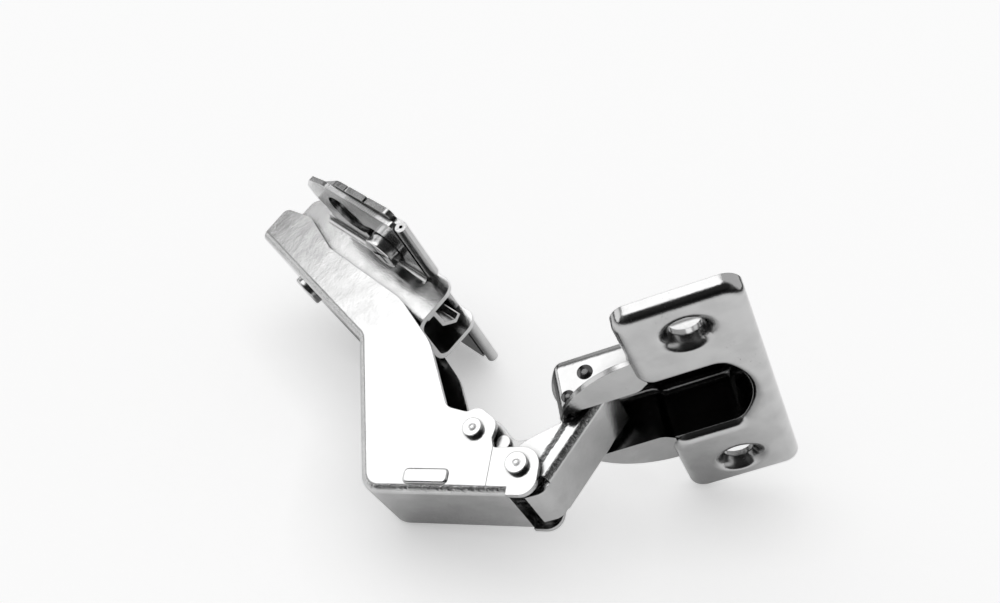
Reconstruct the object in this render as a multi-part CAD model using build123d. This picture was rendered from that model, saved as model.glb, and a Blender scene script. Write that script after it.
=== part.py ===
"""Concealed cup hinge with its mounting plate, standing 141 degrees open, in millimetres.

+X runs from the back of the cabinet to the door, +Y points out of the cabinet side panel's
inner face into the panel, and +Z runs along the hinge pins. The origin lies on the panel's
face, midway between the two fixing holes of the mounting plate.
"""
from build123d import *
import math
import os

os.makedirs("parts", exist_ok=True)

# ---- driving dimensions -----------------------------------------------------------------
# sheets and clearances
SHEET = 1.1                # arm and mounting plate sheet
LINK_SHEET = 1.0           # link and cup sheet
BASE_SHEET = 1.2           # base plate sheet
SIDE_GAP = 0.3             # between cheeks that swing past each other
SLIP = 0.05                # between flat faces that slide on each other
RUN = 0.05                 # radial clearance of a turning pin
FIT = 0.02                 # radial clearance of a fixed pin

# linkage, in the hinge's middle plane
DOOR_ANGLE = 51.3          # the flange's short side against +X, with the door 141 degrees open
FRONT_PIN = (61.0, -21.5)  # arm pin that carries the outer link
REAR_PIN = (49.6, -21.0)   # arm pin that carries the inner link
LINK_LENGTH = 18.0         # outer link, between its pins
LINK_LEAN = 0.3            # the outer link's lean from square to the panel
LINK_PIN_IN_CUP = (-20.2, 6.1)      # from the cup's centre along the flange, and deep into the door
REAR_RIVET_IN_CUP = (-19.5, 7.5)
FRONT_RIVET_IN_CUP = (-23.2, 3.8)

# widths, from the middle plane outwards
HAT_HALF = 6.7             # the mounting plate's hat section
ARM_HALF = HAT_HALF + SIDE_GAP + SHEET
OUTER_LINK_HALF = ARM_HALF - SHEET - SIDE_GAP
INNER_LINK_HALF = OUTER_LINK_HALF - LINK_SHEET - SIDE_GAP
TROUGH_HALF = ARM_HALF + 0.45        # inside the cup's narrow end

# pins
REAR_PIN_RADIUS = 1.3
FRONT_PIN_RADIUS = 1.4
LINK_PIN_RADIUS = 1.3
CROSS_PIN_RADIUS = 1.3
RIVET_SHANK = 0.8
HEAD = 0.7                 # height of a pin's head
RIVET_HEAD = 0.5
THROUGH = 20.0             # reach of a hole's cutter, past both cheeks

# ---- helpers ------------------------------------------------------------------------------


def outline(corners):
    """Closed face through (x, y, radius) corners, each rounded with a true arc."""
    edges = []
    ends = []
    count = len(corners)
    for i in range(count):
        x, y, r = corners[i]
        here = Vector(x, y)
        back = (Vector(*corners[i - 1][:2]) - here).normalized()
        ahead = (Vector(*corners[(i + 1) % count][:2]) - here).normalized()
        half = math.radians(back.get_angle(ahead)) / 2
        if r == 0:
            ends.append((here, here))
            continue
        reach = r / math.tan(half)
        start = here + back * reach
        stop = here + ahead * reach
        middle = here + (back + ahead).normalized() * (r / math.sin(half) - r)
        edges.append(ThreePointArc(start, middle, stop))
        ends.append((start, stop))
    for i in range(count):
        leave = ends[i][1]
        arrive = ends[(i + 1) % count][0]
        if (arrive - leave).length > 1e-6:
            edges.append(Line(leave, arrive))
    return make_face(Wire(edges))


def around(centre, corners):
    """Outline corners given from a centre."""
    return [(centre[0] + x, centre[1] + y, r) for x, y, r in corners]


def mirrored(half):
    """Outline corners and their mirror images across the middle plane."""
    return half + [(x, -z, r) for x, z, r in reversed(half)]


def slab(face, low, high):
    """Prism of a face in the hinge's middle plane, between two places along the pins."""
    return extrude(Pos(0, 0, low) * face, high - low)


def rod(at, radius, low, high):
    """Cylinder along the pins."""
    return Pos(at[0], at[1], (low + high) / 2) * Cylinder(radius, high - low)


def layer(face, low, high):
    """Prism of an (x, z) face, between two heights over the panel."""
    return extrude(Pos(0, -low, 0) * (Plane.XZ * face), high - low)


def post(x, z, radius, low, high):
    """Cylinder square to the panel, between two heights over it."""
    return Plane.XZ * Pos(x, z, (low + high) / 2) * Cylinder(radius, high - low)


def both(half):
    """A solid and its mirror image across the hinge's middle plane, as two solids."""
    return Compound([half, mirror(half, Plane.XY)])


def save(solid, node):
    """Write one node."""
    solid.label = node
    export_step(solid, f"parts/{node}.step")


def directions(path):
    """Unit vectors along the runs of a path."""
    return [(Vector(*b) - Vector(*a)).normalized() for a, b in zip(path, path[1:])]


def shifted(path, distance):
    """A path moved to its left, with mitred corners."""
    along = directions(path)
    moved = []
    for i, point in enumerate(path):
        first = along[max(i - 1, 0)]
        second = along[min(i, len(along) - 1)]
        mitre = (first + second).normalized().rotate(Axis.Z, 90)
        stretch = math.cos(math.radians(first.get_angle(second)) / 2)
        moved.append(Vector(*point) + mitre * (distance / stretch))
    return [(p.X, p.Y) for p in moved]


def bar(path, rounds, half, edge_round):
    """Solid to the left of a path, with its two long edges on the path rounded."""
    far = 60.0
    along = directions(path)
    first = Vector(*path[0]) - along[0] * far
    last = Vector(*path[-1]) + along[-1] * far
    side_first = first + along[0].rotate(Axis.Z, 90) * far
    side_last = last + along[-1].rotate(Axis.Z, 90) * far
    inner = [(x, y, r) for (x, y), r in zip(path[1:-1], rounds)]
    corners = [(first.X, first.Y, 0), *inner, (last.X, last.Y, 0),
               (side_last.X, side_last.Y, 0), (side_first.X, side_first.Y, 0)]
    solid = slab(outline(corners), -half, half)
    line = Polyline((first.X, first.Y), *path[1:-1], (last.X, last.Y))
    folds = [e for e in solid.edges() if abs(abs(e.center().Z) - half) < 1e-4
             and line.distance_to(Vertex(e.center().X, e.center().Y, 0)) < max(rounds) / 3]
    return fillet(folds, edge_round)


def channel(path, rounds, sheet, half, bend):
    """Folded channel: a web along the path, its bends rounded, and a cheek on each side."""
    along = directions(path)
    inside = []
    for i, r in enumerate(rounds):
        turns_left = along[i].cross(along[i + 1]).Z > 0
        inside.append(r - sheet if turns_left else r + sheet)
    hollow = bar(shifted(path, sheet), inside, half - sheet, bend - sheet)
    return bar(path, rounds, half, bend) - hollow


def head_pin(at, radius, head_radius, seat):
    """Riveted pin along Z: a shank between two domed heads that seat on the cheeks."""
    pin = rod(at, radius, -seat, seat)
    for low in (seat, -seat - HEAD):
        cap = rod(at, head_radius, low, low + HEAD)
        outer = cap.edges().sort_by(lambda e: abs(e.center().Z))[-1]
        pin += fillet(outer, HEAD * 0.5)
    return pin


def stub_rivets(at, head_radius, wall_inside, wall_outside, head):
    """Two short rivets, one in each wall."""
    stub = rod(at, RIVET_SHANK, wall_inside, wall_outside)
    cap = rod(at, head_radius, wall_outside, wall_outside + head)
    top = cap.edges().sort_by(lambda e: e.center().Z)[-1]
    return both(stub + fillet(top, head * 0.6))


# ---- base plate ---------------------------------------------------------------------------
# It is screwed to the panel through two holes and carries the rest, which slides on it.
HOLE_PITCH = 32.0          # the fixing holes of every cabinet side
FIXING_HOLE = 2.75
BASE_FRONT = 17.2          # front edge between the two rolled edges
ROLL_AT = 19.5             # centre of the rolled front edges
ROLL_RADIUS = 1.2
ROLL_BORE = 0.35
ROLL_ENDS = (9.0, 24.0)
SLIDE_TRAVEL = 2.0         # height and depth adjustment, each way
CAM_AT = (8.9, 12.0)       # centre of the height cam's drum, set to its middle
CAM_RADIUS = 3.8
CAM_TOP = 4.7              # its face over the panel
CAM_PIVOT_RADIUS = 1.5
CLAMP_AT = (8.9, -14.2)
CLAMP_RADIUS = 2.0
CLAMP_HEAD = (3.2, 2.0)    # radius and height
OFF_PANEL = 0.1            # how far the pivots' ends stay off the panel
MARKS = (3.4, 9.4)         # notches in the outer edges, which show the height setting
MARK_SIZE = (0.7, 1.6)
MARK_AT = 25.7

hat_foot = BASE_SHEET + SLIP
cam_pivot = (CAM_AT[0] - SLIDE_TRAVEL, CAM_AT[1])
half_base = [
    (BASE_FRONT, ROLL_ENDS[0], 0),
    (ROLL_AT, ROLL_ENDS[0], 0),
    (ROLL_AT, ROLL_ENDS[1], 0),
    (16.8, ROLL_ENDS[1], 0),
    (16.7, 25.9, 1.3),
    (0.0, 24.9, 5.0),
    (-12.5, 17.0, 4.0),
]
base = layer(outline(mirrored(half_base)), 0, BASE_SHEET)
roll_middle = sum(ROLL_ENDS) / 2
roll_length = ROLL_ENDS[1] - ROLL_ENDS[0]
for side in (1, -1):
    roll_place = Pos(ROLL_AT, -ROLL_RADIUS, side * roll_middle)
    base += roll_place * Cylinder(ROLL_RADIUS, roll_length)
    base -= roll_place * Cylinder(ROLL_BORE, roll_length)
    base -= post(0, side * HOLE_PITCH / 2, FIXING_HOLE, 0, BASE_SHEET)
    for mark in MARKS:
        base -= layer(Pos(mark, side * MARK_AT) * Rectangle(*MARK_SIZE), 0, BASE_SHEET)
base -= post(*cam_pivot, CAM_PIVOT_RADIUS + RUN, 0, BASE_SHEET)
base -= post(*CLAMP_AT, CLAMP_RADIUS + FIT, 0, BASE_SHEET)
save(base, "base_plate")

# ---- height cam ---------------------------------------------------------------------------
# A drum whose pivot stands off its centre by the travel; turning it moves the plate.
CAM_EDGE = 0.3
CAM_SLOT = (5.4, 1.0)
CAM_SLOT_DEPTH = 1.2
CAM_CROSS_TURN = 20        # how the cross slot stands

cam = post(*CAM_AT, CAM_RADIUS, hat_foot, CAM_TOP)
rim = cam.edges().filter_by(GeomType.CIRCLE).sort_by(Axis.Y)[0]
cam = fillet(rim, CAM_EDGE)
cam += post(*cam_pivot, CAM_PIVOT_RADIUS, OFF_PANEL, hat_foot)
for turn in (CAM_CROSS_TURN, CAM_CROSS_TURN + 90):
    cross = Pos(*CAM_AT) * Rot(0, 0, turn) * Rectangle(*CAM_SLOT)
    cam -= layer(cross, CAM_TOP - CAM_SLOT_DEPTH, CAM_TOP)
save(cam, "height_cam")

# ---- mounting plate -----------------------------------------------------------------------
# One pressed piece: a hat section that the arm straddles, and a wing on each side of it.
HAT_TOP = 12.0             # the hat's outer top over the panel
HAT_REAR = -20.6
HAT_FRONT = 23.7
FOOT_REAR = -13.0          # the feet, and between them the base plate
FOOT_FRONT = 18.0
END_WALL_FOOT = 0.15       # how close to the panel the hat's two end walls reach
HAT_BEND = 3.0
FOOT_BEND = 1.2
WING_OUT = 24.3
ACCESS_AT = (-1.0, 15.8)   # opening over a fixing screw
ACCESS_RADIUS = 5.0
CAM_PLAY = 0.7             # round the drum, which swings as it turns

foot_top = hat_foot + SHEET
hat_inside = HAT_HALF - SHEET
foot_out = HAT_HALF + 1.9


def hat_section(feet):
    """Face of the hat in (y, z), with its feet or with straight end walls."""
    if feet:
        foot = [(-foot_top, HAT_HALF, FOOT_BEND), (-foot_top, foot_out, 0),
                (-hat_foot, foot_out, 0), (-hat_foot, hat_inside, FOOT_BEND + SHEET)]
    else:
        foot = [(-END_WALL_FOOT, HAT_HALF, 0), (-END_WALL_FOOT, hat_inside, 0)]
    upper = [(-HAT_TOP, HAT_HALF, HAT_BEND), *foot, (SHEET - HAT_TOP, hat_inside, HAT_BEND - SHEET)]
    return outline(mirrored(upper))


def hat_run(feet, rear, front):
    """Length of the hat section between two places along the cabinet's depth."""
    return extrude(Pos(rear, 0, 0) * (Plane.YZ * hat_section(feet)), front - rear)


hat = hat_run(False, HAT_REAR, FOOT_REAR) + hat_run(True, FOOT_REAR, FOOT_FRONT)
hat += hat_run(False, FOOT_FRONT, HAT_FRONT)
end_shape = outline([
    (HAT_REAR, -HAT_TOP - 1, 0),
    (HAT_FRONT, -HAT_TOP - 1, 0),
    (HAT_FRONT, 0, 3.4),
    (FOOT_FRONT - 1.6, 0, 0),
    (FOOT_FRONT - 1.6, 1, 0),
    (FOOT_REAR, 1, 0),
    (FOOT_REAR, 0, 0),
    (HAT_REAR, 0, 2.4),
])
hat &= slab(end_shape, -foot_out, foot_out)
wing = outline([
    (18.0, HAT_HALF + 1.2, 0),
    (18.0, WING_OUT, 1.0),
    (-3.0, WING_OUT, 4.0),
    (-8.6, 22.7, 1.0),
    (-11.9, 19.0, 1.5),
    (-11.9, 15.0, 1.5),
    (-10.2, 12.8, 1.5),
    (-10.2, HAT_HALF + 1.2, 0),
])
cam_opening = SlotCenterToCenter(SLIDE_TRAVEL, 2 * (CAM_RADIUS + CAM_PLAY))
clamp_slot = Rot(0, 0, 90) * SlotCenterToCenter(2 * SLIDE_TRAVEL, 2 * (CLAMP_RADIUS + SIDE_GAP))
blade = layer(wing, hat_foot, foot_top) - post(*ACCESS_AT, ACCESS_RADIUS, 0, foot_top)
hat += blade
hat += mirror(blade, Plane.XY)
cam_middle = (CAM_AT[0] + cam_pivot[0]) / 2
hat -= layer(Pos(cam_middle, CAM_AT[1]) * cam_opening, 0, foot_top + FOOT_BEND)
hat -= layer(Pos(*CLAMP_AT) * clamp_slot, 0, foot_top)

# ---- clamp screw --------------------------------------------------------------------------
# It holds the mounting plate down on the base plate once the height is set.
CLAMP_SLOT = (4.2, 0.9)
CLAMP_SLOT_DEPTH = 1.1
CLAMP_EDGE = 0.6

head_radius, head_height = CLAMP_HEAD
clamp_seat = foot_top + SLIP
clamp_top = clamp_seat + head_height
clamp = post(*CLAMP_AT, head_radius, clamp_seat, clamp_top)
clamp = fillet(clamp.edges().filter_by(GeomType.CIRCLE).sort_by(Axis.Y)[0], CLAMP_EDGE)
clamp += post(*CLAMP_AT, CLAMP_RADIUS, OFF_PANEL, clamp_seat)
for turn in (0, 90):
    cross = Pos(*CLAMP_AT) * Rot(0, 0, turn) * Rectangle(*CLAMP_SLOT)
    clamp -= layer(cross, clamp_top - CLAMP_SLOT_DEPTH, clamp_top)
save(clamp, "clamp_screw")

# ---- arm ----------------------------------------------------------------------------------
# One strip folded to a channel: a low rear part over the mounting plate, a crank away from
# the panel, and a lower run that ends in the ears for the two pins.
ARM_REAR = -23.4
ARM_REAR_HEIGHT = 14.07    # the web's outer face over the panel, at its rear end
KNEE = (15.3, -19.7)
KNEE_ROUND = 2.4
CRANK_ROUND = 4.0
RUN_RISE = 32.6            # slope of the lower run
CRANK_FOOT = -28.9         # where the lower run starts, from the front pin along the run
RUN_BELOW_PIN = 5.2        # the lower run's outer face, from the front pin
WEB_END = -1.3             # the web stops here, and only the two cheeks go on
ARM_BEND = 1.5
EAR_START = -5.1           # the ears that hold the front pin, from it along the run
EAR_END = 3.8
EAR_TOP = 3.4
EAR_BELOW_PIN = 5.5
LOUVRE_AT = (-16.6, -2.4)  # pressed bead, from the front pin along the run and square to it
LOUVRE_SIZE = (8.5, 2.8)
LOUVRE_RISE = 0.45
LOUVRE_CORNER = 0.9
LOUVRE_WALL = 0.6

run_frame = Pos(*FRONT_PIN, 0) * Rot(0, 0, RUN_RISE)


def on_run(x, y):
    """A place given along the lower run and square to it, from the front pin."""
    place = (run_frame * Pos(x, y, 0)).position
    return (place.X, place.Y)


web_path = [
    (ARM_REAR, -ARM_REAR_HEIGHT),
    KNEE,
    on_run(CRANK_FOOT, -RUN_BELOW_PIN),
    on_run(WEB_END, -RUN_BELOW_PIN),
]
arm_side = outline([
    (ARM_REAR + 0.4, -30.0, 0),
    (30.0, -60.0, 0),
    (*on_run(WEB_END, -30.0), 0),
    (*on_run(WEB_END, -EAR_BELOW_PIN), 0),
    (*on_run(EAR_END, -EAR_BELOW_PIN), 3.0),
    (*on_run(EAR_END, EAR_TOP), 3.4),
    (*on_run(EAR_START, EAR_TOP - 0.3), 0.8),
    *around(REAR_PIN, [(4.0, 0.6, 0.8), (2.8, 3.6, 2.6), (-2.4, 3.8, 2.2), (-3.4, 1.8, 1.5)]),
    (42.0, -20.6, 2.5),
    (29.5, -12.6, 14.0),
    (17.0, -8.8, 12.0),
    (-6.3, -8.2, 5.0),
    (-12.0, -6.4, 2.0),
    (-16.6, -4.9, 2.0),
    (ARM_REAR - 0.4, -6.2, 1.6),
])
arm = channel(web_path, [KNEE_ROUND, CRANK_ROUND], SHEET, ARM_HALF, ARM_BEND)
arm &= slab(arm_side, -ARM_HALF, ARM_HALF)

flat_from = ARM_BEND - RUN_BELOW_PIN + 0.2
past_web = run_frame * Pos(WEB_END + 10, flat_from - 10) * Rectangle(20, 20)
arm -= slab(past_web, -ARM_HALF, ARM_HALF)
flap = slab(arm_side & past_web, ARM_HALF - SHEET, ARM_HALF)
arm += flap
arm += mirror(flap, Plane.XY)

bead_face = run_frame * Pos(*LOUVRE_AT) * RectangleRounded(*LOUVRE_SIZE, LOUVRE_CORNER)
bead = slab(bead_face, ARM_HALF - SHEET / 2, ARM_HALF + LOUVRE_RISE)
bead = fillet(bead.edges().group_by(Axis.Z)[-1], LOUVRE_RISE * 0.8)
dent_size = [size - 2 * LOUVRE_WALL for size in LOUVRE_SIZE]
dent_face = run_frame * Pos(*LOUVRE_AT) * RectangleRounded(*dent_size, LOUVRE_CORNER - 0.4)
dent = slab(dent_face, ARM_HALF - SHEET, ARM_HALF - SHEET + LOUVRE_RISE)
for form in (bead, mirror(bead, Plane.XY)):
    arm += form
for form in (dent, mirror(dent, Plane.XY)):
    arm -= form
arm -= rod(REAR_PIN, REAR_PIN_RADIUS + FIT, -THROUGH, THROUGH)
arm -= rod(FRONT_PIN, FRONT_PIN_RADIUS + FIT, -THROUGH, THROUGH)

# ---- depth screw, depth nut and side screw ------------------------------------------------
# The depth screw clamps the arm to a nut that slides along the hat. The side screw stands
# on the hat and tips the arm about that nut.
DEPTH_SCREW_X = -10.5      # where the two screws go through the web's outer face
SIDE_SCREW_X = 6.0
SCREW_RADIUS = 2.0
THREAD_PLAY = 0.15
DEPTH_HEAD = (3.4, 1.2)    # radius and height
NUT_SIZE = (8.0, 3.4)      # along the hat and across its height
NUT_CORNER = 0.8
PAST_NUT = 0.8             # how far the depth screw comes out of the nut
SIDE_SCREW_LENGTH = 5.4
SCREW_CROSS = (0.8, 3.0, 1.2)

web_slope = directions(web_path)[0]


def on_web(x):
    """Frame on the rear web's outer face at x, its Z axis pointing through the web."""
    start = Vector(*web_path[0])
    place = start + web_slope * ((x - start.X) / web_slope.X)
    inward = Vector(-web_slope.Y, web_slope.X)
    return Plane(origin=(place.X, place.Y, 0), x_dir=(0, 0, 1), z_dir=(inward.X, inward.Y, 0))


def screw(frame, radius, low, high):
    """Cylinder along a web frame."""
    return frame * Pos(0, 0, (low + high) / 2) * Cylinder(radius, high - low)


depth_frame = on_web(DEPTH_SCREW_X)
side_frame = on_web(SIDE_SCREW_X)
nut_top = HAT_TOP - SHEET - SLIP
nut_y = -(nut_top - NUT_SIZE[1] / 2)


def reach(y):
    """How far along the depth screw, from the web, its axis is at y."""
    return (y - depth_frame.origin.Y) / depth_frame.z_dir.Y


nut_x = depth_frame.origin.X + depth_frame.z_dir.X * reach(nut_y)
hat_hole_x = depth_frame.origin.X + depth_frame.z_dir.X * reach(-HAT_TOP)
screw_end = reach(nut_y) + NUT_SIZE[1] / 2 + PAST_NUT

hat_slot = SlotCenterToCenter(2 * (SLIDE_TRAVEL + SIDE_GAP), 2 * (SCREW_RADIUS + SIDE_GAP))
hat -= layer(Pos(hat_hole_x, 0) * hat_slot, HAT_TOP - 2 * SHEET, HAT_TOP + SHEET)
save(hat, "mounting_plate")

for frame in (depth_frame, side_frame):
    arm -= screw(frame, SCREW_RADIUS + RUN, -SHEET, 2 * SHEET)
save(arm, "arm")

head_radius, head_height = DEPTH_HEAD
depth_screw = screw(depth_frame, head_radius, -head_height, 0)
rim = depth_screw.edges().filter_by(GeomType.CIRCLE).sort_by(Axis.Y)[0]
depth_screw = fillet(rim, head_height * 0.4)
depth_screw += screw(depth_frame, SCREW_RADIUS, 0, screw_end)
side_screw = screw(side_frame, SCREW_RADIUS, 0, SIDE_SCREW_LENGTH)
for turn in (0, 90):
    cross = Rot(0, 0, turn) * Box(*SCREW_CROSS)
    depth_screw -= depth_frame * Pos(0, 0, -head_height) * cross
    side_screw -= side_frame * cross
save(depth_screw, "depth_screw")
save(side_screw, "side_screw")

nut_half = hat_inside - SLIP
nut = Pos(nut_x, nut_y, 0) * Box(*NUT_SIZE, 2 * nut_half)
nut = chamfer(nut.edges().filter_by(Axis.Y), NUT_CORNER)
nut = chamfer(nut.edges().filter_by(Axis.X).group_by(Axis.Y)[0], HAT_BEND - SHEET)
nut -= screw(depth_frame, SCREW_RADIUS + THREAD_PLAY, 0, HAT_TOP)
save(nut, "depth_nut")

# ---- slide tongue -------------------------------------------------------------------------
# A bent strip inside the hat's front end, welded to its upper wall.
TONGUE_SHEET = 0.8
TONGUE_REAR = 9.0
TONGUE_FRONT = HAT_FRONT - 0.3
TONGUE_OUT = 0.5           # rounding of its bends, on the two faces
TONGUE_IN = 0.4

tongue_path = [
    (HAT_BEND - HAT_TOP + 0.2, hat_inside),
    (-6.6, hat_inside),
    (-6.3, 0.9),
    (-4.3, -0.9),
    (-3.2, -0.3),
]
tongue_back = shifted(tongue_path, -TONGUE_SHEET)
tongue_bends = [0, 1, 1, 1, 0]
tongue_corners = [(*place, TONGUE_OUT * bend) for place, bend in zip(tongue_path, tongue_bends)]
tongue_corners += [(*place, TONGUE_IN * bend) for place, bend in zip(tongue_back, tongue_bends)][::-1]
tongue_place = Pos(TONGUE_REAR, 0, 0) * (Plane.YZ * outline(tongue_corners))
save(extrude(tongue_place, TONGUE_FRONT - TONGUE_REAR), "slide_tongue")

# ---- outer link ---------------------------------------------------------------------------
# A folded channel. Its web faces away from the cabinet when the door is open.
LINK_END = 2.6             # how far the link reaches past its upper pin
LINK_BEND = 1.4
LINK_KNEE = 3.0            # where the web turns under the front pin
LINK_TAB_FROM = 1.2        # below here the web goes on alone, as a tab between the cheeks
LINK_RIVET_AT = (0.7, 11.7)
LINK_LUG = 1.3             # radius of the cheek round that rivet

link_frame = Pos(*FRONT_PIN, 0) * Rot(0, 0, -LINK_LEAN)


def on_link(x, y):
    """A place given across and along the outer link, from the front pin."""
    place = (link_frame * Pos(x, y, 0)).position
    return (place.X, place.Y)


link_pin = on_link(0, LINK_LENGTH)
link_rivet = on_link(*LINK_RIVET_AT)
link_top = LINK_LENGTH + LINK_END
link_web = [on_link(3.5, -3.6), on_link(5.75, -0.9), on_link(3.45, link_top)]
link_side = outline([(*on_link(x, y), r) for x, y, r in [
    (3.9, -3.5, 0),
    (9.0, -8.0, 0),
    (9.0, link_top, 0),
    (-2.6, link_top, 2.5),
    (-2.6, LINK_LENGTH - 1.7, 1.0),
    (1.5, 12.4, 1.0),
    (-2.3, 5.2, 0.6),
    (-2.9, 3.4, 1.0),
    (-3.1, -3.1, 3.0),
    (1.9, -3.1, 1.0),
]])
outer_link = channel(link_web, [LINK_KNEE], LINK_SHEET, OUTER_LINK_HALF, LINK_BEND)
outer_link &= slab(link_side + Pos(*link_rivet) * Circle(LINK_LUG), -OUTER_LINK_HALF, OUTER_LINK_HALF)
beside_tab = outline([(*on_link(x, y), r) for x, y, r in [
    (9.0, -8.0, 0),
    (9.0, LINK_TAB_FROM, 0),
    (4.0, LINK_TAB_FROM, 1.0),
    (1.7, -3.0, 0),
    (1.7, -8.0, 0),
]])
for low in (OUTER_LINK_HALF - LINK_BEND, -OUTER_LINK_HALF):
    outer_link -= slab(beside_tab, low, low + LINK_BEND)
outer_link -= rod(FRONT_PIN, FRONT_PIN_RADIUS + RUN, -THROUGH, THROUGH)
outer_link -= rod(link_pin, LINK_PIN_RADIUS + RUN, -THROUGH, THROUGH)
outer_link -= rod(link_rivet, RIVET_SHANK + FIT, -THROUGH, THROUGH)
save(outer_link, "outer_link")
outer_link_inside = OUTER_LINK_HALF - LINK_SHEET
save(stub_rivets(link_rivet, 1.1, outer_link_inside, OUTER_LINK_HALF, RIVET_HEAD), "link_rivets")

# ---- cup place ----------------------------------------------------------------------------
turned = Rot(0, 0, DOOR_ANGLE)
pin_offset = (turned * Pos(*LINK_PIN_IN_CUP, 0)).position
cup_frame = Pos(link_pin[0] - pin_offset.X, link_pin[1] - pin_offset.Y, 0) * turned


def in_cup(u, v):
    """A place given along the flange and into the door, from the cup's centre."""
    place = (cup_frame * Pos(u, v, 0)).position
    return (place.X, place.Y)


# ---- inner link ---------------------------------------------------------------------------
# Two bowed cheeks joined by a short web along their outer edge.
CROSS_PIN_AT = (5.2, 1.4)  # from the rear pin
CROSS_PIN_PAST = 0.9       # how far it stands out of the cheeks

rear_rivet = in_cup(*REAR_RIVET_IN_CUP)
end_x = rear_rivet[0] - REAR_PIN[0]
end_y = rear_rivet[1] - REAR_PIN[1]
cheek = outline(around(REAR_PIN, [
    (-3.3, -3.3, 3.2),
    (-3.3, 3.4, 3.2),
    (1.8, 4.0, 2.0),
    (6.6, 2.9, 2.0),
    (8.2, 4.5, 1.0),
    (11.4, 10.0, 4.0),
    (end_x - 2.2, end_y - 2.0, 3.0),
    (end_x - 2.2, end_y + 2.2, 2.0),
    (end_x + 2.2, end_y + 2.2, 2.0),
    (end_x + 1.5, end_y - 5.0, 3.0),
    (13.8, 8.6, 2.0),
    (13.2, 5.8, 0.8),
    (10.0, 5.2, 1.0),
    (8.7, 1.6, 1.0),
    (5.2, -1.7, 3.0),
    (2.0, -3.3, 1.5),
]))
strip = outline(around(REAR_PIN, [(12.7, 9.2, 0), (15.0, 9.2, 0), (15.0, 13.6, 0), (11.4, 13.6, 0)]))
link_inside = INNER_LINK_HALF - LINK_SHEET
cross_pin = (REAR_PIN[0] + CROSS_PIN_AT[0], REAR_PIN[1] + CROSS_PIN_AT[1])
beside_strip = Pos(*REAR_PIN) * Rectangle(4 * LINK_LENGTH, 4 * LINK_LENGTH) - strip
inner_link = slab(cheek, -INNER_LINK_HALF, INNER_LINK_HALF)
inner_link -= slab(beside_strip, -link_inside, link_inside)
inner_link -= rod(REAR_PIN, REAR_PIN_RADIUS + RUN, -INNER_LINK_HALF, INNER_LINK_HALF)
inner_link -= rod(rear_rivet, REAR_PIN_RADIUS + RUN, -INNER_LINK_HALF, INNER_LINK_HALF)
inner_link -= rod(cross_pin, CROSS_PIN_RADIUS + FIT, -INNER_LINK_HALF, INNER_LINK_HALF)
save(inner_link, "inner_link")
cross_end = INNER_LINK_HALF + CROSS_PIN_PAST
save(rod(cross_pin, CROSS_PIN_RADIUS, -cross_end, cross_end), "inner_link_pin")

# ---- arm pins -----------------------------------------------------------------------------
REAR_HEAD_RADIUS = 1.8
FRONT_HEAD_RADIUS = 2.0

save(head_pin(REAR_PIN, REAR_PIN_RADIUS, REAR_HEAD_RADIUS, ARM_HALF), "rear_arm_pin")
save(head_pin(FRONT_PIN, FRONT_PIN_RADIUS, FRONT_HEAD_RADIUS, ARM_HALF), "front_arm_pin")

# ---- closing spring -----------------------------------------------------------------------
# A coil on the front pin. One leg lies along the arm's lower run, the other along the
# outer link's web.
WIRE = 0.6                 # radius
COIL_RADIUS = 2.4
COIL_HALF = 2.9
WHOLE_TURNS = 3
RUN_LEG = 9.0
WEB_LEG = 7.0

rest_of_turn = 90 - RUN_RISE
pitch = 2 * COIL_HALF / (WHOLE_TURNS + rest_of_turn / 360)
turns = Pos(0, 0, -COIL_HALF) * Rot(0, 0, -rest_of_turn) * Helix(pitch, 2 * COIL_HALF, COIL_RADIUS)
run_leg = Line(turns @ 0 - (turns % 0) * RUN_LEG, turns @ 0)
web_leg = Line(turns @ 1, turns @ 1 + (turns % 1) * WEB_LEG)
wire_end = Plane(origin=run_leg @ 0, z_dir=run_leg % 0) * Circle(WIRE)
spring = sweep(wire_end, path=Wire([run_leg, turns, web_leg]))
save(Pos(*FRONT_PIN, 0) * spring, "closing_spring")

# ---- cup ----------------------------------------------------------------------------------
# One deep-drawn piece: a flange with two screw dimples, a round pocket, and a narrow open
# end that the links come out of.
FLANGE_MARGIN = 3.0        # from the boring to the flange's far edge
FLANGE_BACK = 10.7         # the flange's near edge, from the screw line
FLANGE_HALF = 30.8
FLANGE_CORNER = 3.2
FLANGE_ROLL = 1.9          # rounding of the flange's front edges, and of the pocket's mouth
FLANGE_LIP = 3.2           # depth of the edges turned down behind it
SCREW_PITCH = 45.0
BORING_OFFSET = 10.0       # from the screw line to the centre of the round boring
BORING_RADIUS = 17.4       # goes into a 35 mm boring
POCKET_HALF = ARM_HALF + HEAD + 1.6
POCKET_DEPTH = 12.0
POCKET_CORNER = 2.6
POCKET_FLOOR_ROUND = 2.4
RIM_TOP = 1.1              # the rims beside the narrow end lie below the flange's face
MOUTH_HALF = OUTER_LINK_HALF + 0.8
NARROW_FROM = -9.5         # the pocket narrows from here to the mouth
DIMPLE_OUT = 4.1           # its slope would meet the flange's face here
DIMPLE_ROUND = 2.0
DIMPLE_HOLE = 2.7
DIMPLE_DEPTH = 1.9


def cup_layer(face, low, high):
    """Prism of a (u, z) face between two depths into the door, in the cup's own frame."""
    return extrude(Pos(0, high, 0) * (Plane.XZ * face), high - low)


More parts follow.
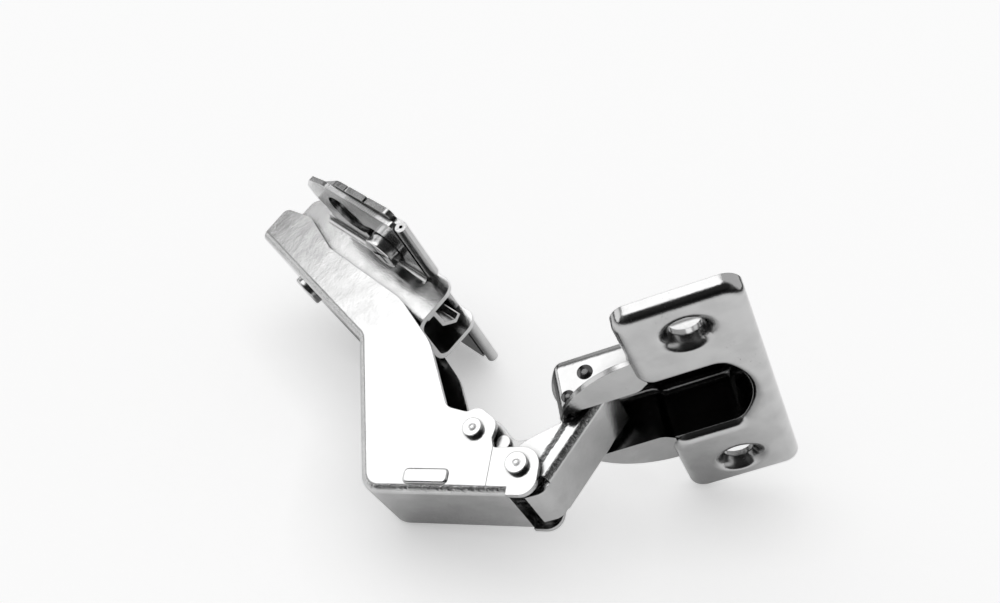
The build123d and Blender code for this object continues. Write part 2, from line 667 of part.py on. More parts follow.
boring = Pos(-BORING_OFFSET, 0) * Circle(BORING_RADIUS)
boring_inside = Pos(-BORING_OFFSET, 0) * Circle(BORING_RADIUS - LINK_SHEET)
pocket_face = outline(mirrored([
    (20.0, POCKET_HALF, 0),
    (NARROW_FROM, POCKET_HALF, 2.0),
    (NARROW_FROM - 1.8, TROUGH_HALF, 2.5),
    (-40.0, TROUGH_HALF, 0),
])) & boring_inside
pocket_corners = [c for c in pocket_face.vertices() if c.X > 0 and abs(c.Y) > POCKET_HALF - 0.1]
pocket_face = fillet(pocket_corners, POCKET_CORNER)
outer_face = offset(pocket_face, LINK_SHEET)


def drawn(face, low, depth, floor_round):
    """Drawn form with a rounded floor."""
    solid = cup_layer(face, low, depth)
    return fillet(solid.faces().sort_by(Axis.Y)[-1].edges(), floor_round)


pocket = drawn(outer_face, RIM_TOP + 0.3, POCKET_DEPTH, POCKET_FLOOR_ROUND)
hollow = drawn(pocket_face, -1, POCKET_DEPTH - LINK_SHEET, POCKET_FLOOR_ROUND - LINK_SHEET)


def flange_face(inset):
    """The flange's face, drawn in by an inset; it is open to the side that the links come from."""
    far = BORING_RADIUS - BORING_OFFSET + FLANGE_MARGIN - inset
    back = inset - FLANGE_BACK
    z = FLANGE_HALF - inset
    gap = POCKET_HALF + inset
    face = outline(mirrored([
        (0, gap, 0),
        (back, gap, FLANGE_CORNER - inset),
        (back, z, FLANGE_CORNER - inset),
        (far, z, FLANGE_CORNER - inset),
    ]))
    return face - (offset(pocket_face, inset) if inset else pocket_face)


tray = cup_layer(flange_face(0), 0, FLANGE_LIP)
tray = fillet(tray.faces().sort_by(Axis.Y)[0].outer_wire().edges(), FLANGE_ROLL)
tray -= cup_layer(flange_face(LINK_SHEET), LINK_SHEET, FLANGE_LIP + 1)

rim = boring & (Pos(NARROW_FROM - 15, 0) * Rectangle(30, 2 * BORING_RADIUS))
rims = cup_layer(rim, RIM_TOP, RIM_TOP + LINK_SHEET)
cup = tray + rims + pocket - hollow
mouth = Pos(-BORING_OFFSET - BORING_RADIUS, 0) * Rectangle(12, 2 * MOUTH_HALF)
cup -= cup_layer(mouth, -1, POCKET_DEPTH - POCKET_FLOOR_ROUND)

boss_depth = DIMPLE_DEPTH + LINK_SHEET
boss_profile = outline([
    (0, LINK_SHEET / 2, 0),
    (DIMPLE_OUT + DIMPLE_ROUND, LINK_SHEET / 2, 0),
    (DIMPLE_HOLE + LINK_SHEET, boss_depth, 0.4),
    (0, boss_depth, 0),
])
bowl_profile = outline([
    (0, -1, 0),
    (DIMPLE_OUT + DIMPLE_ROUND, -1, 0),
    (DIMPLE_OUT + DIMPLE_ROUND, 0, 0),
    (DIMPLE_OUT, 0, DIMPLE_ROUND),
    (DIMPLE_HOLE, DIMPLE_DEPTH, 0.4),
    (DIMPLE_HOLE, boss_depth + 1, 0),
    (0, boss_depth + 1, 0),
])
for side in (1, -1):
    place = Pos(0, 0, side * SCREW_PITCH / 2)
    cup += place * revolve(boss_profile, Axis.Y)
    cup -= place * revolve(bowl_profile, Axis.Y)

wall_outside = TROUGH_HALF + LINK_SHEET
for rivet in (REAR_RIVET_IN_CUP, FRONT_RIVET_IN_CUP):
    cup -= rod(rivet, RIVET_SHANK + FIT, -wall_outside, wall_outside)
save(cup_frame * cup, "cup")

rear_rivets = stub_rivets(rear_rivet, 1.4, TROUGH_HALF, wall_outside, RIVET_HEAD)
front_rivets = stub_rivets(in_cup(*FRONT_RIVET_IN_CUP), 1.2, TROUGH_HALF, wall_outside, RIVET_HEAD)
save(rear_rivets, "rear_cup_rivets")
save(front_rivets, "front_cup_rivets")

# shouldered studs on the narrow end's walls, which carry the outer link
stud = rod(link_pin, LINK_PIN_RADIUS, outer_link_inside - 0.2, TROUGH_HALF)
stud += rod(link_pin, LINK_PIN_RADIUS + 0.9, OUTER_LINK_HALF + 0.2, TROUGH_HALF)
save(both(stud), "link_pins")
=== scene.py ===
import math

import bmesh
import bpy
import numpy as np
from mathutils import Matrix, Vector


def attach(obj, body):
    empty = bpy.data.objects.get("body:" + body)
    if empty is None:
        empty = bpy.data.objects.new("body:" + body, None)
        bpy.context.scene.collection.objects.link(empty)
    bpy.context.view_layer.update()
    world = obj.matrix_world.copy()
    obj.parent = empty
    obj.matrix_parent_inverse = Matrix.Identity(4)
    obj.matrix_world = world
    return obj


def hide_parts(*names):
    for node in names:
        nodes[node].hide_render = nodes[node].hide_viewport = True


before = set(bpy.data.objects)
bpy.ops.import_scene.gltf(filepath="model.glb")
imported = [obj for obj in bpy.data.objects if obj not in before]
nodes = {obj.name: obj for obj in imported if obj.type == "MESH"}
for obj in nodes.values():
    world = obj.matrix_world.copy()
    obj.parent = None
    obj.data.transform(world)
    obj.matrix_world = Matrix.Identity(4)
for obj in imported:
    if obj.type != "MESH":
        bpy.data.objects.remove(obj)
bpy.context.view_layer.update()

# ---- studio: a sheet of white paper under one large softbox ---------------------------------
# The hinge lies on its side. It touches the paper at the flange's lower corner, at the arm's
# lower crank edge and at the tip of the mounting plate's lower wing.
CAMERA_AT = (0.162566, -0.045336, 0.175188)
CAMERA_TURN = (34.0873, 20.1114, 42.9681)
CAMERA_LENS = 41.85
HINGE_MIDDLE = (0.05, -0.01, 0)
TOUCHES = ((0.0720, 0.0004, -0.0304), (0.0400, -0.0410, -0.0081), (0.0100, -0.0010, -0.0265))
PAPER_WIDTH = 3.0
PAPER_GAP = 0.0003
PAPER_WHITE = 0.9
PAPER_LIGHT = 0.60
PAPER_DARK = 0.06
DARK_FROM = 0.09
DARK_TO = 0.34
SHADE_REACH = 0.04
CONTACT_REACH = 0.02
CONTACT_SHARE = 0.6
ROOM_LIGHT = 0.34
KEY_LIGHT = 0.17
SOFTBOX_TOWARDS = (-0.42, 0.17, 0.89)
SOFTBOX_LIGHT = 2.0
CEILING_LIGHT = 0.26
BACK_WALL_LIGHT = 0.7
SIDE_CARD_TOWARDS = (-0.85, -0.5, 0.1)
SIDE_CARD_LIGHT = 1.2

camera_data = bpy.data.cameras.new("camera")
camera_data.lens = CAMERA_LENS
camera_data.sensor_width = 36.0
camera_data.clip_start = 0.01
camera_data.clip_end = 10.0
camera = bpy.data.objects.new("camera", camera_data)
camera.location = CAMERA_AT
camera.rotation_euler = [math.radians(a) for a in CAMERA_TURN]
bpy.context.collection.objects.link(camera)
bpy.context.scene.camera = camera
bpy.context.scene.view_settings.view_transform = "Standard"

touches = [Vector(p) for p in TOUCHES]
floor_up = (touches[1] - touches[0]).cross(touches[2] - touches[0]).normalized()
if floor_up.z < 0:
    floor_up.negate()
floor_centre = sum(touches, Vector()) / 3 - floor_up * PAPER_GAP


class Tree:
    """A node tree, emptied, with short ways to add, set and join its nodes."""

    def __init__(self, owner):
        owner.use_nodes = True
        self.tree = owner.node_tree
        self.tree.nodes.clear()

    def add(self, kind, inputs=None, **settings):
        """New node of a kind. An input given as a socket is linked, and as a value is set."""
        node = self.tree.nodes.new("ShaderNode" + kind)
        for name, value in settings.items():
            setattr(node, name, value)
        for name, value in (inputs or {}).items():
            if isinstance(value, bpy.types.NodeSocket):
                self.tree.links.new(value, node.inputs[name])
            else:
                node.inputs[name].default_value = value
        return node

    def maths(self, operation, first, second=0.0, third=0.0):
        """One sum of two or three numbers or sockets."""
        return self.add("Math", {0: first, 1: second, 2: third}, operation=operation).outputs[0]

    def ramp(self, value, low, high, start=0.0, end=1.0):
        """Smooth step of a value, from start at low to end at high."""
        return self.add("MapRange", {"Value": value, "From Min": low, "From Max": high,
                                     "To Min": start, "To Max": end},
                        interpolation_type="SMOOTHSTEP").outputs["Result"]

    def along(self, vector, direction):
        """How far a vector reaches along a fixed direction."""
        return self.add("VectorMath", {0: vector, 1: tuple(direction)},
                        operation="DOT_PRODUCT").outputs["Value"]

    def mirrored_rays(self):
        """One for rays from the camera and for those that metal or glass sends on, else none."""
        path = self.add("LightPath")
        seen = self.maths("MAXIMUM", path.outputs["Is Camera Ray"], path.outputs["Is Glossy Ray"])
        return path, self.maths("MAXIMUM", seen, path.outputs["Is Transmission Ray"])


def card(name, centre, facing, width):
    """Square of a given size, facing a direction, as one quad."""
    side = facing.orthogonal().normalized()
    other = facing.cross(side)
    corners = [centre + (side * a + other * b) * (width / 2)
               for a, b in ((-1, -1), (1, -1), (1, 1), (-1, 1))]
    mesh = bpy.data.meshes.new(name)
    mesh.from_pydata([tuple(c) for c in corners], [], [(0, 1, 2, 3)])
    piece = bpy.data.objects.new(name, mesh)
    bpy.context.collection.objects.link(piece)
    return piece


# The paper is white and keeps the hinge's shadow, and near the hinge a painted contact shadow
# dims its glow. Only to the metal it shows painted shade beneath the hinge and turns dark some
# way off. Its underside is clear, so that the part can be looked at from below.
paper = bpy.data.materials.new("white paper")
tree = Tree(paper)
path, mirrored = tree.mirrored_rays()
where = tree.add("NewGeometry")
offset = tree.add("VectorMath", {0: where.outputs["Position"], 1: tuple(floor_centre)},
                  operation="DISTANCE").outputs["Value"]
# Painted shade: ambient occlusion darkens the paper beneath the hinge as the metal sees it.
painted_shade_beneath = tree.add("AmbientOcclusion", {"Distance": SHADE_REACH}, samples=8).outputs["AO"]
unlit = tree.maths("MAXIMUM", tree.ramp(offset, DARK_FROM, DARK_TO),
                   tree.ramp(painted_shade_beneath, 0.30, 0.95, 0.85, 0.0))
painted_dark_for_metal = tree.maths("MULTIPLY", unlit, path.outputs["Is Glossy Ray"])
diffuse = tree.add("BsdfDiffuse", {"Color": (PAPER_WHITE, PAPER_WHITE, PAPER_WHITE, 1)})
# Painted contact shadow: ambient occlusion dims the paper's glow near the hinge.
contact_shade = tree.add("AmbientOcclusion", {"Distance": CONTACT_REACH}, samples=8).outputs["AO"]
painted_contact_shadow = tree.maths("MULTIPLY_ADD", contact_shade, CONTACT_SHARE, 1 - CONTACT_SHARE)
lift = tree.maths("MULTIPLY", mirrored, tree.maths("MULTIPLY", painted_contact_shadow, PAPER_LIGHT))
glow = tree.add("Emission", {"Color": (1, 1, 1, 1), "Strength": lift})
lit = tree.add("AddShader", {0: diffuse.outputs[0], 1: glow.outputs[0]})
dark = tree.add("Emission", {"Color": (1, 1, 1, 1), "Strength": PAPER_DARK})
front = tree.add("MixShader", {0: painted_dark_for_metal, 1: lit.outputs[0], 2: dark.outputs[0]})
clear = tree.add("BsdfTransparent")
sides = tree.add("MixShader", {0: where.outputs["Backfacing"], 1: front.outputs[0],
                               2: clear.outputs[0]})
tree.add("OutputMaterial", {"Surface": sides.outputs[0]})
floor = card("floor", floor_centre, floor_up, PAPER_WIDTH)
floor.data.materials.append(paper)

# The room is white to the camera and nearly even for soft light. Metal shows it as a bright
# softbox overhead, a dim ceiling, a grey back wall, a card at the side, and darkness low down
# and round the camera.
room = bpy.data.worlds.new("studio")
bpy.context.scene.world = room
tree = Tree(room)
path = tree.add("LightPath")
towards = tree.add("TexCoord").outputs["Generated"]
camera_towards = (Vector(CAMERA_AT) - Vector(HINGE_MIDDLE)).normalized()
to_softbox = tree.along(towards, Vector(SOFTBOX_TOWARDS).normalized())
softbox = tree.ramp(to_softbox, 0.922, 0.948, 0.0, SOFTBOX_LIGHT)
ceiling = tree.ramp(tree.along(towards, floor_up), 0.10, 0.80, 0.02, CEILING_LIGHT)
back_wall = tree.ramp(tree.along(towards, (0, 1, 0)), 0.30, 0.60, 0.0, BACK_WALL_LIGHT)
ceiling = tree.maths("MAXIMUM", ceiling, back_wall)
shade = tree.ramp(tree.along(towards, camera_towards), 0.60, 0.92, 1.0, 0.1)
to_card = tree.along(towards, Vector(SIDE_CARD_TOWARDS).normalized())
side_card = tree.ramp(to_card, 0.70, 0.82, 0.0, SIDE_CARD_LIGHT)
seen_in_metal = tree.maths("MAXIMUM", tree.maths("MULTIPLY", ceiling, shade), softbox)
seen_in_metal = tree.maths("MAXIMUM", seen_in_metal, side_card)
key = tree.ramp(to_softbox, 0.55, 0.95, 0.0, KEY_LIGHT)
soft = tree.maths("ADD", key, ROOM_LIGHT)
seen = path.outputs["Is Camera Ray"]
plain = tree.maths("ADD", tree.maths("MULTIPLY", tree.maths("SUBTRACT", 1.0, seen), soft), seen)
glossy = path.outputs["Is Glossy Ray"]
strength = tree.maths("ADD", tree.maths("MULTIPLY", glossy, seen_in_metal),
                      tree.maths("MULTIPLY", tree.maths("SUBTRACT", 1.0, glossy), plain))
background = tree.add("Background", {"Color": (1, 1, 1, 1), "Strength": strength})
tree.add("OutputWorld", {"Surface": background.outputs[0]})


# ---- base plate and mounting plate -----------------------------------------------------------
# Both are pressed from cold-rolled strip and barrel nickel-plated: the base is screwed to the
# cabinet side, and the plate with its hat section slides on it under the height cam. All sizes
# and places are in metres.
SEAM_SHADE_REACH = 0.0022
SHEET_EDGE = 0.00015
RIPPLE_SCALE = 240.0
RIPPLE_HEIGHT = 0.0001
GRAIN_SCALE = 2400.0
GRAIN_HEIGHT = 0.00003
PATCH_SCALE = 90.0
SCRATCH_TURN = (0.3, 0.5, 0.9)
SCRATCH_SCALE = (60.0, 2200.0, 60.0)
SCRATCH_HEIGHT = 0.00002
MM = 0.001


def plated(name, tone, roughness, pressed=None, fold=0.010, fold_shade=(0.15, 0.55, 0.2), marks=None):
    """Bright nickel over rolled steel. It is duller where the strip stretched, painted with shade
    in folds of a given size, and finely scratched. pressed is more relief, in mm, the three numbers
    after fold give the openness at which the fold's painted shade is darkest, where it clears,
    and its share left, and marks are painted dark, from 0 to 1. Shade is painted along the seams."""
    paint = bpy.data.materials.new(name)
    tree = Tree(paint)
    place = tree.add("TexCoord").outputs["Object"]
    waves = tree.add("TexNoise", {"Vector": place, "Scale": RIPPLE_SCALE, "Detail": 3.0,
                                  "Roughness": 0.5})
    fine = tree.add("TexNoise", {"Vector": place, "Scale": GRAIN_SCALE, "Detail": 4.0,
                                 "Roughness": 0.65})
    patch = tree.add("TexNoise", {"Vector": place, "Scale": PATCH_SCALE, "Detail": 2.0,
                                  "Roughness": 0.5})
    turned_to = tree.add("Mapping", {"Vector": place, "Rotation": SCRATCH_TURN,
                                     "Scale": SCRATCH_SCALE})
    lines = tree.add("TexNoise", {"Vector": turned_to.outputs[0], "Scale": 1.0, "Detail": 2.0,
                                  "Roughness": 0.5})
    scratch = tree.ramp(lines.outputs["Fac"], 0.70, 0.78)
    specks = tree.ramp(fine.outputs["Fac"], 0.64, 0.72)
    speck_here = tree.maths("MULTIPLY", specks, tree.ramp(patch.outputs["Fac"], 0.5, 0.66))
    # Painted shade: ambient occlusion within the piece darkens its folds and hollows.
    reach = tree.add("AmbientOcclusion", {"Distance": fold}, samples=6, only_local=True)
    painted_fold_shade = tree.ramp(reach.outputs["AO"], fold_shade[0], fold_shade[1], fold_shade[2], 1.0)
    shade = tree.maths("MULTIPLY_ADD", speck_here, -0.45 * tone,
                       tree.ramp(waves.outputs["Fac"], 0.3, 0.7, tone * 0.93, tone * 1.04))
    # Painted shade: ambient occlusion darkens each piece along its seams with the pieces beside it.
    painted_seam_shade = tree.add("AmbientOcclusion", {"Distance": SEAM_SHADE_REACH}, samples=6).outputs["AO"]
    shade = tree.maths("MULTIPLY", shade, tree.ramp(painted_seam_shade, 0.35, 0.85, 0.15, 1.0))
    shade = tree.maths("MULTIPLY", shade, painted_fold_shade)
    if marks:
        shade = tree.maths("MULTIPLY", shade, tree.maths("SUBTRACT", 1.0, marks(tree, place)))
    colour = tree.add("CombineColor", {"Red": shade, "Green": shade, "Blue": shade})
    rough = tree.maths("MULTIPLY_ADD", speck_here, 0.25,
                       tree.ramp(patch.outputs["Fac"], 0.3, 0.7, roughness * 0.8, roughness * 1.3))
    relief = tree.add("Bevel", {"Radius": SHEET_EDGE}, samples=4)
    relief = tree.add("Bump", {"Strength": 0.3, "Distance": RIPPLE_HEIGHT,
                               "Height": waves.outputs["Fac"], "Normal": relief.outputs[0]})
    relief = tree.add("Bump", {"Strength": 0.6, "Distance": GRAIN_HEIGHT,
                               "Height": fine.outputs["Fac"], "Normal": relief.outputs[0]})
    relief = tree.add("Bump", {"Strength": 0.35, "Distance": SCRATCH_HEIGHT, "Height": scratch,
                               "Normal": relief.outputs[0]}, invert=True)
    if pressed:
        relief = tree.add("Bump", {"Strength": 1.0, "Distance": MM,
                                   "Height": pressed(tree, place), "Normal": relief.outputs[0]})
    metal = tree.add("BsdfPrincipled", {"Base Color": colour.outputs[0], "Metallic": 1.0,
                                        "Roughness": rough, "Normal": relief.outputs[0]})
    tree.add("OutputMaterial", {"Surface": metal.outputs[0]})
    return paint


def coat(paint, *names):
    """Give each named node one material and no other."""
    for name in names:
        mesh = nodes[name].data
        mesh.materials.clear()
        mesh.materials.append(paint)


SCALE_FROM = 0.0040
SCALE_TO = 0.0135
SCALE_PITCH = 0.00056
WING_EDGE = 0.0234
NOTCH_SHADE = 0.97
HAT_FOLD = 0.010
HAT_FOLD_SHADE = (0.10, 0.40, 0.3)


def height_scale(tree, place):
    """Painted shade along the wing's outer edge: a row of even notches along X, by which a fitter
    reads how far the plate stands from its middle, drawn only as dark stripes of shade."""
    x = tree.along(place, (1, 0, 0))
    outwards = tree.maths("ABSOLUTE", tree.along(place, (0, 0, 1)))
    row = tree.maths("MULTIPLY", tree.maths("GREATER_THAN", x, SCALE_FROM),
                     tree.maths("LESS_THAN", x, SCALE_TO))
    here = tree.maths("MULTIPLY", row, tree.maths("GREATER_THAN", outwards, WING_EDGE))
    wave = tree.maths("SINE", tree.maths("MULTIPLY", x, 2 * math.pi / SCALE_PITCH))
    return tree.maths("MULTIPLY", tree.ramp(wave, -0.2, 0.6, 0.0, NOTCH_SHADE), here)


coat(plated("plated base", 0.56, 0.20), "base_plate")
coat(plated("plated hat section", 0.60, 0.14, None, HAT_FOLD, HAT_FOLD_SHADE, height_scale),
     "mounting_plate")

# ---- height cam, clamp screw and the adjusting screws ----------------------------------------
# The cam is die-cast and the screws are cold-headed, and both are plated after their cross
# slots are pressed, so their flanks keep the turned or rolled lines. The depth nut and the
# bent slide tongue that guide the arm in the hat have the same finish.
CAM_AT = (0.0089, 0.0, 0.0120)
CLAMP_AT = (0.0089, 0.0, -0.0142)
DEPTH_SCREW_AT = (-0.0105, -0.0159, 0.0)
ACROSS_PANEL = (math.pi / 2, 0, 0)
TURNED_EDGE = 0.00010
RING_SCALE = 1500.0
RING_HEIGHT = 0.00001
FLANK_SCALE = 1500.0
FLANK_HEIGHT = 0.00002


def turned(name, tone, roughness, centre, spin=(0, 0, 0)):
    """Plated turned steel: fine rings round an axis through a centre, in metres."""
    paint = bpy.data.materials.new(name)
    tree = Tree(paint)
    place = tree.add("TexCoord").outputs["Object"]
    local = tree.add("Mapping", {"Vector": place, "Location": centre, "Rotation": spin},
                     vector_type="TEXTURE")
    rings = tree.add("TexWave", {"Vector": local.outputs[0], "Scale": RING_SCALE, "Distortion": 0.6,
                                 "Detail": 2.0}, wave_type="RINGS", rings_direction="Z")
    fine = tree.add("TexNoise", {"Vector": place, "Scale": FLANK_SCALE, "Detail": 3.0})
    shade = tree.ramp(fine.outputs["Fac"], 0.3, 0.7, tone * 0.92, tone * 1.05)
    colour = tree.add("CombineColor", {"Red": shade, "Green": shade, "Blue": shade})
    rough = tree.ramp(fine.outputs["Fac"], 0.3, 0.7, roughness * 0.8, roughness * 1.3)
    relief = tree.add("Bevel", {"Radius": TURNED_EDGE}, samples=4)
    relief = tree.add("Bump", {"Strength": 0.25, "Distance": RING_HEIGHT,
                               "Height": rings.outputs["Fac"], "Normal": relief.outputs[0]})
    relief = tree.add("Bump", {"Strength": 0.2, "Distance": FLANK_HEIGHT,
                               "Height": fine.outputs["Fac"], "Normal": relief.outputs[0]})
    metal = tree.add("BsdfPrincipled", {"Base Color": colour.outputs[0], "Metallic": 1.0,
                                        "Roughness": rough, "Normal": relief.outputs[0]})
    tree.add("OutputMaterial", {"Surface": metal.outputs[0]})
    return paint


coat(turned("cast cam", 0.85, 0.16, CAM_AT, ACROSS_PANEL), "height_cam")
coat(turned("clamp screw steel", 0.60, 0.2, CLAMP_AT, ACROSS_PANEL), "clamp_screw")
coat(turned("adjusting screw steel", 0.55, 0.2, DEPTH_SCREW_AT), "depth_screw", "depth_nut",
     "side_screw", "slide_tongue")

# ---- arm --------------------------------------------------------------------------------------
# One strip folded to a channel, cranked away from the panel. Its two cheeks go on past the web
# as ears, set out by a low joggle, and the web carries the two adjusting screws. The ears'
# sizes and the peel are in mm.
RUN_RISE = math.radians(32.6)
FRONT_PIN = (0.0610, -0.0215)
EAR_START = -5.1
EAR_JOGGLE = 0.03
JOGGLE_HALF = 0.12
CHEEK_FROM = 0.0070
ARM_BEND_FROM = 0.0071
ARM_BEND_TO = 0.00806
ARM_PEEL = 0.16
PEEL_SCALE = 1700.0


def peel(tree, place, low, high, depth):
    """Height in a bend, where the stretched skin is rough like orange peel: noise of a given
    depth in mm, between two distances from the middle plane."""
    outwards = tree.maths("ABSOLUTE", tree.along(place, (0, 0, 1)))
    skin = tree.add("TexNoise", {"Vector": place, "Scale": PEEL_SCALE, "Detail": 3.0,
                                 "Roughness": 0.7})
    within = tree.maths("MULTIPLY", tree.maths("GREATER_THAN", outwards, low),
                        tree.maths("LESS_THAN", outwards, high))
    return tree.maths("MULTIPLY", tree.maths("MULTIPLY", skin.outputs["Fac"], within), depth)


def ear_joggle(tree, place):
    """Height over the cheek: nothing up to the ears, and the joggle's depth from there on."""
    run = Vector((math.cos(RUN_RISE), math.sin(RUN_RISE), 0)) / MM
    zero = run.x * FRONT_PIN[0] + run.y * FRONT_PIN[1] + EAR_START
    reached = tree.maths("SUBTRACT", tree.along(place, run), zero)
    outwards = tree.maths("ABSOLUTE", tree.along(place, (0, 0, 1)))
    on_cheek = tree.maths("GREATER_THAN", outwards, CHEEK_FROM)
    step = tree.ramp(reached, -JOGGLE_HALF, JOGGLE_HALF, 0.0, EAR_JOGGLE)
    joggle = tree.maths("MULTIPLY", step, on_cheek)
    return tree.maths("ADD", joggle, peel(tree, place, ARM_BEND_FROM, ARM_BEND_TO, ARM_PEEL))


coat(plated("plated arm", 0.60, 0.13, ear_joggle), "arm")

# ---- pins -------------------------------------------------------------------------------------
# Steel pins, headed at both ends on the cheeks. The tool that closes a head leaves a flat top
# with a crisp rim and a small ring mark in its middle. Radii and heights are in mm.
REAR_PIN = (0.0496, -0.0210)
PIN_SEAT = 8.1
PIN_TOP = 9.15
RING_MARK = 0.45
LATHE_STEPS = 64


def lathe(name, centre, profiles):
    """Surfaces of revolution round Z: each profile is a row of (radius r, height h) points in
    mm, turned through equal angles a, so a point lies at x = r cos a, y = r sin a, z = h from
    the centre. Its first and last points lie on the axis."""
    vertices = []
    faces = []
    angles = np.arange(LATHE_STEPS) * (2 * np.pi / LATHE_STEPS)
    count = 0
    for profile in profiles:
        radius, height = np.array(profile, float).T * MM
        x = centre[0] + np.outer(radius, np.cos(angles))
        y = centre[1] + np.outer(radius, np.sin(angles))
        z = np.repeat(height[:, None], LATHE_STEPS, axis=1)
        vertices.append(np.stack([x, y, z], axis=2).reshape(-1, 3))
        i, j = np.meshgrid(np.arange(len(radius) - 1), np.arange(LATHE_STEPS), indexing="ij")
        row = count + i * LATHE_STEPS
        row_after = row + LATHE_STEPS
        k = (j + 1) % LATHE_STEPS
        quads = np.stack([row + j, row + k, row_after + k, row_after + j], axis=2)
        faces.append(quads.reshape(-1, 4))
        count += len(radius) * LATHE_STEPS
    mesh = bpy.data.meshes.new(name)
    mesh.from_pydata(np.vstack(vertices).tolist(), [], np.vstack(faces).tolist())
    work = bmesh.new()
    work.from_mesh(mesh)
    bmesh.ops.remove_doubles(work, verts=work.verts, dist=1e-7)
    bmesh.ops.recalc_face_normals(work, faces=work.faces)
    work.to_mesh(mesh)
    work.free()
    mesh.polygons.foreach_set("use_smooth", [True] * len(mesh.polygons))
    piece = bpy.data.objects.new(name, mesh)
    bpy.context.collection.objects.link(piece)
    return piece


def flat_head(radius, seat, top, mark):
    """Half of a head's outline, from the cheek it seats on to the axis, with a ring mark."""
    return [(radius - 0.06, seat), (radius - 0.01, seat + 0.02), (radius, seat + 0.08),
            (radius, top - 0.16), (radius - 0.03, top - 0.07), (radius - 0.09, top - 0.01),
            (radius - 0.16, top), (mark + 0.12, top), (mark + 0.07, top - 0.02),
            (mark, top - 0.09), (mark - 0.07, top - 0.02), (mark - 0.12, top), (0.1, top),
            (0, top)]


def two_headed(shank, radius, seat, top, mark):
    """Whole outline of a pin with a head at each end."""
    upper = [(shank, seat - 0.02)] + flat_head(radius, seat, top, mark)
    lower = [(r, -z) for r, z in reversed(upper)]
    return [lower + upper]


pin_steel = turned("headed pin steel", 0.62, 0.10, (*FRONT_PIN, 0))
for node, centre, shank, radius in (("rear_arm_pin", REAR_PIN, 1.3, 1.8),
                                    ("front_arm_pin", FRONT_PIN, 1.4, 2.0)):
    pin = lathe(node + "_headed", centre, two_headed(shank, radius, PIN_SEAT, PIN_TOP, RING_MARK))
    pin.data.materials.append(pin_steel)
    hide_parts(node)
    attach(pin, "arm_body")

# ---- links ------------------------------------------------------------------------------------
# The outer link is a folded channel whose cheeks are dished beside the bend, and the inner
# link lies inside it. Both are blanked from strip, folded and nickel-plated. The step's
# sizes and the peel are in mm, and places are in metres.
LINK_PIN = (0.061094, -0.0035)
ACROSS_WEB = (0.9930, 0.1180, 0)
WEB_AT = (0.06672, -0.02243)
LINK_BEND_FROM = 0.0058
LINK_BEND_TO = 0.00667
LINK_PEEL = 0.12
STEP_FROM_BEND = 3.0
STEP_HALF = 0.7
STEP_DEPTH = 0.5
UNEVEN_SCALE = 900.0


def dished_cheek(tree, place):
    """Height over the cheek: it drops in an uneven smooth step beside the web's bend."""
    across = Vector(ACROSS_WEB) / MM
    web = across.x * WEB_AT[0] + across.y * WEB_AT[1]
    uneven = tree.add("TexNoise", {"Vector": place, "Scale": UNEVEN_SCALE, "Detail": 4.0,
                                   "Roughness": 0.7})
    off = tree.maths("ADD", tree.maths("SUBTRACT", tree.along(place, across), web), STEP_FROM_BEND)
    off = tree.maths("ADD", off, tree.maths("SUBTRACT", uneven.outputs["Fac"], 0.5))
    step = tree.ramp(off, -STEP_HALF, STEP_HALF, STEP_DEPTH, 0.0)
    return tree.maths("ADD", step, peel(tree, place, LINK_BEND_FROM, LINK_BEND_TO, LINK_PEEL))


coat(plated("plated outer link", 0.55, 0.15, dished_cheek), "outer_link")
coat(plated("plated inner link", 0.45, 0.20), "inner_link")
coat(turned("link pin steel", 0.55, 0.18, (*LINK_PIN, 0)), "link_pins", "inner_link_pin")

# ---- closing spring ---------------------------------------------------------------------------
# Hard-drawn spring wire, coiled cold on the front pin and left with its dark drawing skin.
coat(turned("drawn spring wire", 0.32, 0.25, (*FRONT_PIN, 0)), "closing_spring")

# ---- rivets -----------------------------------------------------------------------------------
# Short steel rivets with low domed heads, blackened and not plated, because they are closed
# after the cup and the link come out of the bath. A wall or cheek is given by the shank's
# end inside it, the head's seat and the head's top, in mm from the middle plane.
RIVETS_MIDDLE = (0.0604, -0.0021, 0)
REAR_CUP_RIVET = (0.06044, -0.002075)
FRONT_CUP_RIVET = (0.06101, -0.00728)
LINK_RIVET = (0.06176, -0.009805)
RIVET_SHANK = 0.8
CUP_WALL = (8.56, 9.55, 10.05)
LINK_CHEEK = (5.71, 6.7, 7.2)
HEAD_RIM = 0.1
HEAD_POINTS = 14


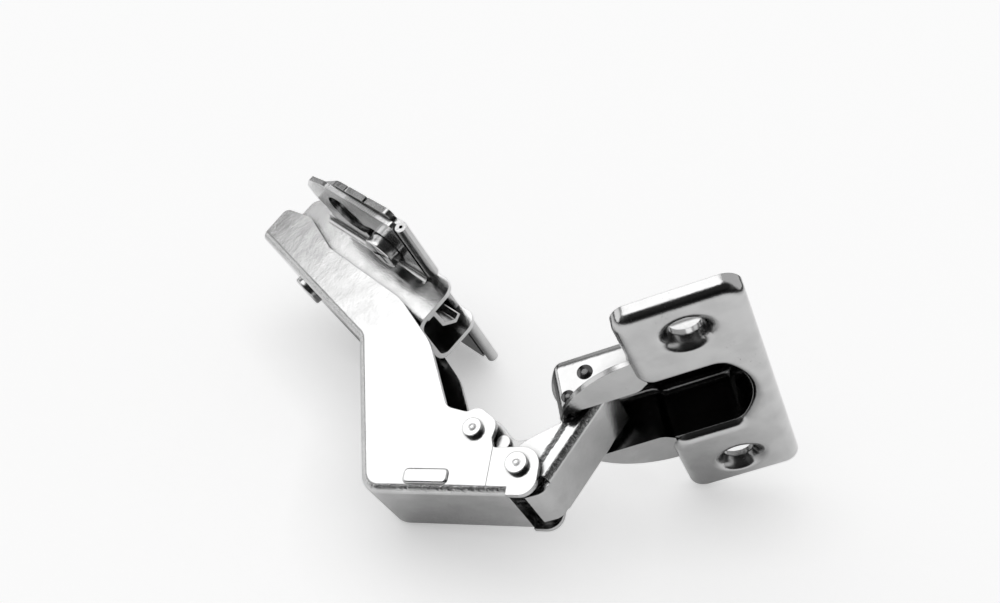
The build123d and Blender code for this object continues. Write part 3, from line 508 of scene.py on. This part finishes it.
def domed(shank, radius, inside, seat, top):
    """Outline of one short rivet: a shank end, and a head that is the cap of a sphere."""
    rise = top - seat - HEAD_RIM
    ball = (radius ** 2 + rise ** 2) / (2 * rise)
    turn = np.linspace(np.arcsin(radius / ball), 0, HEAD_POINTS)
    head = np.stack([ball * np.sin(turn), top - ball + ball * np.cos(turn)], axis=1)
    underside = [(0, inside), (shank, inside), (shank, seat - 0.02), (radius - 0.02, seat - 0.02)]
    return underside + head.tolist()


rivet_steel = turned("blackened rivet steel", 0.12, 0.10, RIVETS_MIDDLE)
for node, body, centre, radius, (inside, seat, top) in (
        ("rear_cup_rivets", "cup_body", REAR_CUP_RIVET, 1.4, CUP_WALL),
        ("front_cup_rivets", "cup_body", FRONT_CUP_RIVET, 1.2, CUP_WALL),
        ("link_rivets", "outer", LINK_RIVET, 1.1, LINK_CHEEK)):
    upper = domed(RIVET_SHANK, radius, inside, seat, top)
    lower = [(r, -z) for r, z in upper]
    rivets = lathe(node + "_domed", centre, [upper, lower])
    rivets.data.materials.append(rivet_steel)
    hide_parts(node)
    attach(rivets, body)

# ---- cup --------------------------------------------------------------------------------------
# The flange, the deep pocket and the trough that takes the links are drawn from one sheet in
# several strokes, and then nickel-plated. Shade is painted into the pocket, darkest at its
# floor. The bowls' sizes are in mm.
BOWL_AT = (0.076573, 0.009982, 0.0225)
ALONG_FLANGE = (0.6252, 0.7804, 0.0)
BOWL_EDGE = 5.6
BOWL_HOLE = 2.5
BOWL_DRAW = 1.1
POCKET_FOLD = 0.030
POCKET_FOLD_SHADE = (0.50, 0.70, 0.12)


def drawn_bowls(tree, place):
    """Height over the flange: round each screw hole the sheet dips in a smooth wide bowl."""
    along_flange = Vector(ALONG_FLANGE) / MM
    beside = tree.maths("SUBTRACT", tree.along(place, along_flange),
                        along_flange.dot(Vector(BOWL_AT)))
    outwards = tree.maths("ABSOLUTE", tree.along(place, (0, 0, 1 / MM)))
    above = tree.maths("SUBTRACT", outwards, BOWL_AT[2] / MM)
    square = tree.maths("MULTIPLY_ADD", above, above, tree.maths("MULTIPLY", beside, beside))
    return tree.ramp(tree.maths("SQRT", square), BOWL_HOLE, BOWL_EDGE, 0.0, BOWL_DRAW)


coat(plated("plated cup", 0.53, 0.15, drawn_bowls, POCKET_FOLD, POCKET_FOLD_SHADE), "cup")
